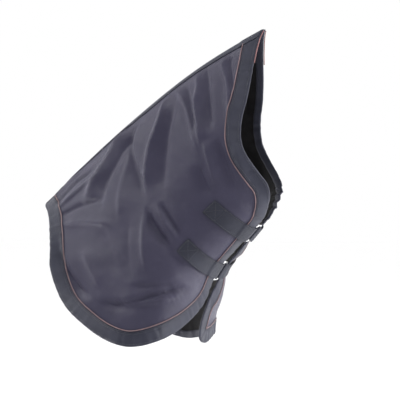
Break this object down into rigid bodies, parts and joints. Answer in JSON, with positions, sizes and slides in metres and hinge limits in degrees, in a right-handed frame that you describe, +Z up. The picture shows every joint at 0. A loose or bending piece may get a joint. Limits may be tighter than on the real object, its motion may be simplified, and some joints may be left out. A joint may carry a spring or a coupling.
{
  "type": "turnout rug neck cover",
  "caption": "Detachable neck cover for a horse's turnout rug: lined leaves joined along the crest, wide bound edges with piping, ring-and-strap closure under the neck.",
  "frame": {"origin": "point on the crest line, half way along the neck, where the cover rests on the neck's crest", "axes": "+X toward the horse's head, +Y to the horse's left, +Z up"},
  "size_m": [0.7114, 0.4844, 0.9115],
  "materials": {
    "shell": "tightly woven waterproof outer, dark navy",
    "binding": "wide ribbed binding tape, slate navy",
    "lining": "black nylon lining",
    "piping": "thin rose-brown corded piping",
    "metal": "bright silver wire",
    "webbing": "flat woven band, dark slate",
    "touch": "black touch fastener"
  },
  "bodies": {
    "right_side": {"right_shell": "shell", "right_lining": "lining", "right_edge_binding": "binding", "right_piping": "piping", "right_crest_tape": "binding", "right_poll_trim": "piping", "upper_chape": "webbing", "lower_chape": "webbing"},
    "left_side": {"left_shell": "shell", "left_lining": "lining", "left_edge_binding": "binding", "left_piping": "piping", "left_crest_tape": "binding", "left_poll_trim": "piping", "upper_loop_pad": "touch", "lower_loop_pad": "touch"},
    "upper_ring_body": {"upper_ring": "metal"},
    "upper_strap_body": {"upper_strap": "webbing", "upper_hook_pad": "touch"},
    "lower_ring_body": {"lower_ring": "metal"},
    "lower_strap_body": {"lower_strap": "webbing", "lower_hook_pad": "touch"}
  },
  "joints": [
    {"name": "left_side_open", "type": "hinge", "parent": "right_side", "child": "left_side", "pos_m": [-0.0242, 0, -0.0075], "axis": [0.8037, 0, 0.5951], "range_deg": [0, 30]},
    {"name": "upper_ring_swing", "type": "hinge", "parent": "right_side", "child": "upper_ring_body", "pos_m": [0.30607, -0.013, -0.37021], "axis": [-0.6738, 0, -0.7389], "range_deg": [0, 40]},
    {"name": "upper_strap_peel", "type": "hinge", "parent": "upper_ring_body", "child": "upper_strap_body", "pos_m": [0.30607, 0.013, -0.37021], "axis": [-0.6738, 0, -0.7389], "range_deg": [0, 106]},
    {"name": "lower_ring_swing", "type": "hinge", "parent": "right_side", "child": "lower_ring_body", "pos_m": [0.20738, -0.013, -0.47859], "axis": [-0.5376, 0, -0.8432], "range_deg": [0, 40]},
    {"name": "lower_strap_peel", "type": "hinge", "parent": "lower_ring_body", "child": "lower_strap_body", "pos_m": [0.20738, 0.013, -0.47859], "axis": [-0.5376, 0, -0.8432], "range_deg": [0, 106]}
  ],
  "couplings": [
    {"joint": "upper_ring_swing", "follows": "left_side_open", "ratio": 1.3},
    {"joint": "upper_strap_peel", "follows": "left_side_open", "ratio": 3.5},
    {"joint": "lower_ring_swing", "follows": "left_side_open", "ratio": 1.3},
    {"joint": "lower_strap_peel", "follows": "left_side_open", "ratio": 3.5}
  ]
}
